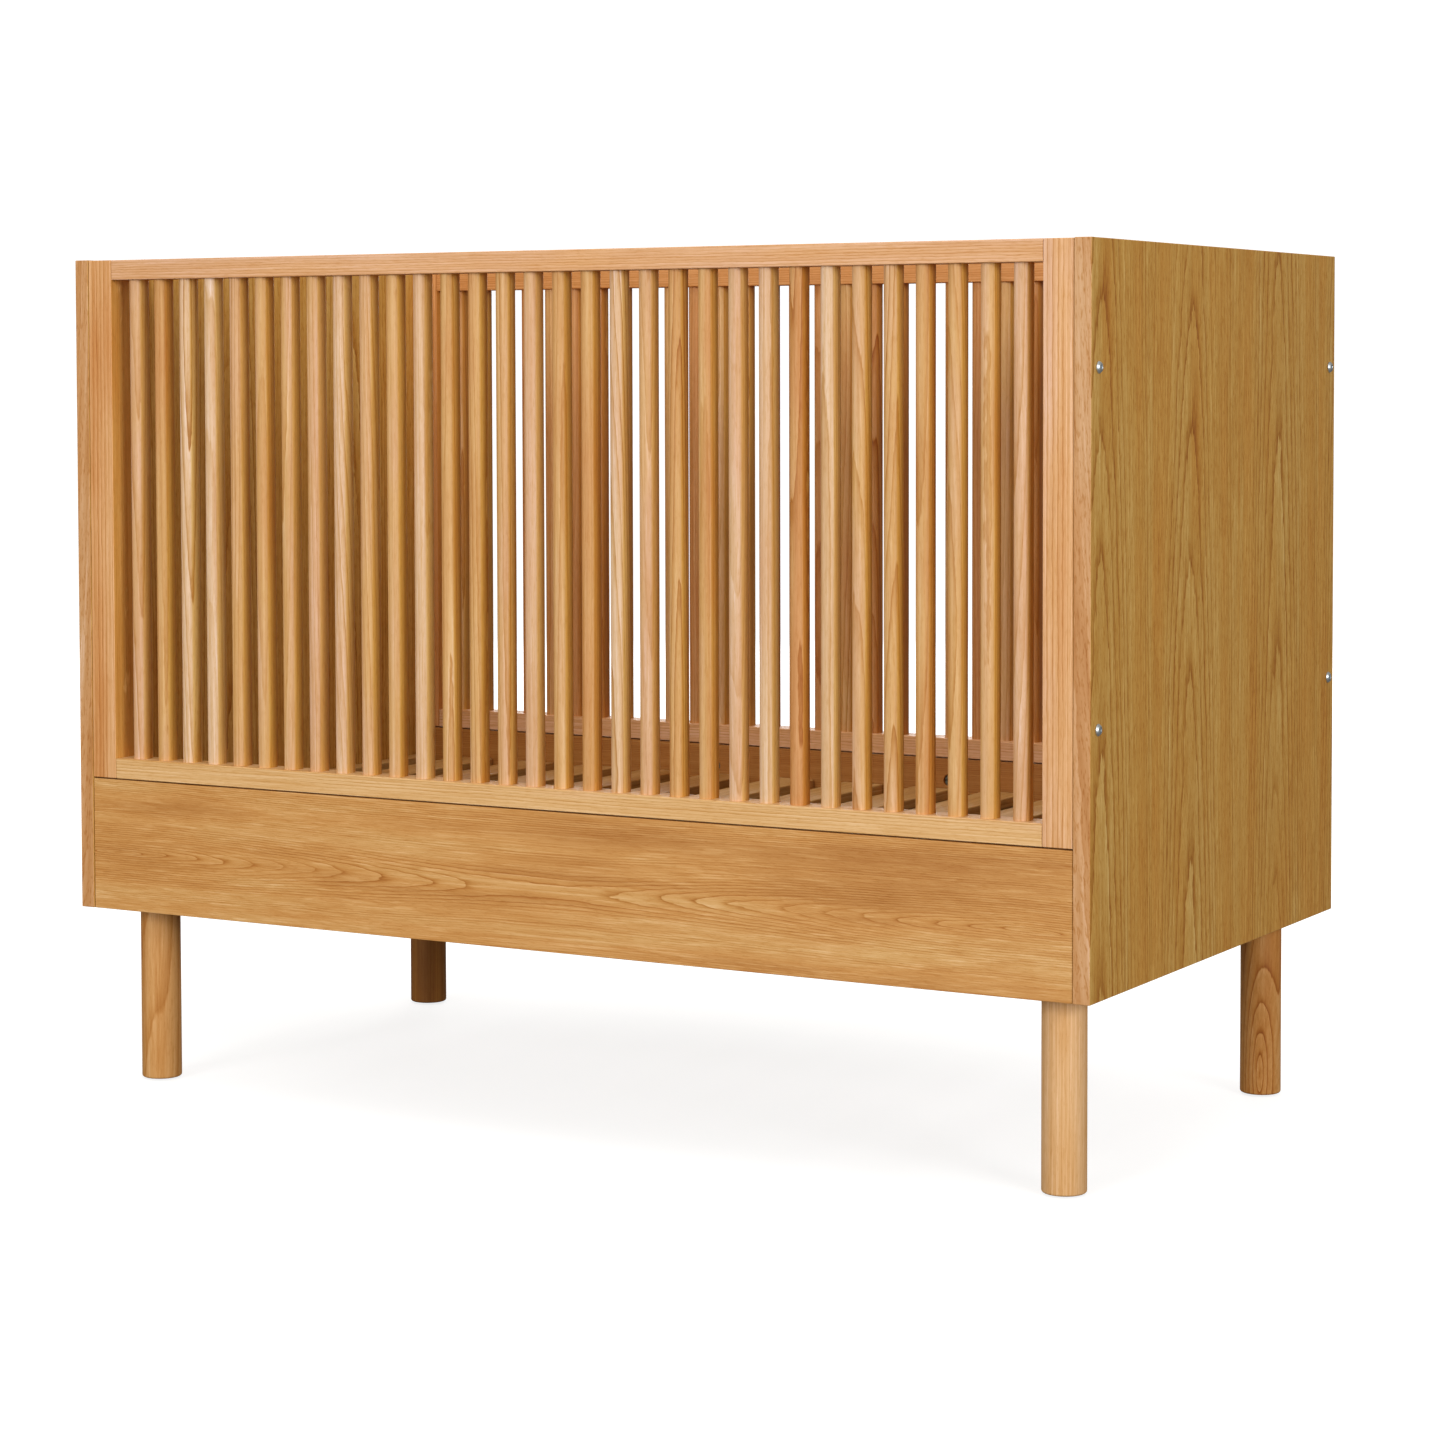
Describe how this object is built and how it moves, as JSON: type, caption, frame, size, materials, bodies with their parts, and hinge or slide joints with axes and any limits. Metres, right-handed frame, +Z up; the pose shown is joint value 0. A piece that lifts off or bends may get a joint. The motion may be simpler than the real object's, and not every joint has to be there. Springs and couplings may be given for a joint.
{
  "type": "baby crib",
  "caption": "Wooden baby crib with solid end panels, upright-slat gates over deep aprons, round legs and a height-adjustable slatted mattress base.",
  "frame": {"origin": "on the floor under the middle of the crib", "axes": "+X along the crib's length to the right, +Y from the front to the rear, +Z up"},
  "size_m": [1.2466, 0.67, 0.932],
  "materials": {
    "panel_wood": "oiled ash veneer, satin, vertical cathedral grain",
    "apron_wood": "oiled ash, satin, long horizontal grain",
    "gate_wood": "oiled ash, satin, fine straight grain",
    "slat_wood": "oiled ash, satin, each slat a different board",
    "leg_wood": "oiled ash, turned, satin",
    "base_wood": "planed ash, light oil",
    "block_wood": "planed hardwood, unfinished",
    "zinc_steel": "bright zinc plate",
    "black_plastic": "moulded, matt"
  },
  "bodies": {
    "crib_frame": {"left_end_panel": "panel_wood", "right_end_panel": "panel_wood", "front_apron": "apron_wood", "rear_apron": "apron_wood", "corner_block_front_left": "block_wood", "corner_block_front_right": "block_wood", "corner_block_rear_left": "block_wood", "corner_block_rear_right": "block_wood", "leg_front_left": "leg_wood", "leg_front_right": "leg_wood", "leg_rear_left": "leg_wood", "leg_rear_right": "leg_wood", "leg_bolt_front_left": "zinc_steel", "leg_bolt_front_right": "zinc_steel", "leg_bolt_rear_left": "zinc_steel", "leg_bolt_rear_right": "zinc_steel", "leg_glide_front_left": "black_plastic", "leg_glide_front_right": "black_plastic", "leg_glide_rear_left": "black_plastic", "leg_glide_rear_right": "black_plastic", "cam_lock_front_left": "zinc_steel", "cam_lock_front_right": "zinc_steel", "cam_lock_rear_left": "zinc_steel", "cam_lock_rear_right": "zinc_steel", "front_gate_top_rail": "gate_wood", "front_gate_left_stile": "gate_wood", "front_gate_right_stile": "gate_wood", "front_gate_slatted_rail": "slat_wood", "rear_gate_top_rail": "gate_wood", "rear_gate_left_stile": "gate_wood", "rear_gate_right_stile": "gate_wood", "rear_gate_slatted_rail": "slat_wood", "gate_bolt_front_left_lower": "zinc_steel", "gate_bolt_front_left_upper": "zinc_steel", "gate_bolt_front_right_lower": "zinc_steel", "gate_bolt_front_right_upper": "zinc_steel", "gate_bolt_rear_left_lower": "zinc_steel", "gate_bolt_rear_left_upper": "zinc_steel", "gate_bolt_rear_right_lower": "zinc_steel", "gate_bolt_rear_right_upper": "zinc_steel"},
    "mattress_base": {"base_end_rail_left": "base_wood", "base_end_rail_right": "base_wood", "base_side_rail_front": "base_wood", "base_side_rail_rear": "base_wood", "base_slat_01": "base_wood", "base_slat_02": "base_wood", "base_slat_03": "base_wood", "base_slat_04": "base_wood", "base_slat_05": "base_wood", "base_slat_06": "base_wood", "base_slat_07": "base_wood", "base_slat_08": "base_wood", "base_slat_09": "base_wood", "base_slat_10": "base_wood", "base_slat_11": "base_wood", "base_slat_12": "base_wood", "base_bolt_front_left": "zinc_steel", "base_bolt_front_right": "zinc_steel", "base_bolt_rear_left": "zinc_steel", "base_bolt_rear_right": "zinc_steel"}
  },
  "joints": [
    {"name": "base_height", "type": "slide", "parent": "crib_frame", "child": "mattress_base", "axis": [0, 0, 1], "range_m": [0, 0.24]}
  ]
}
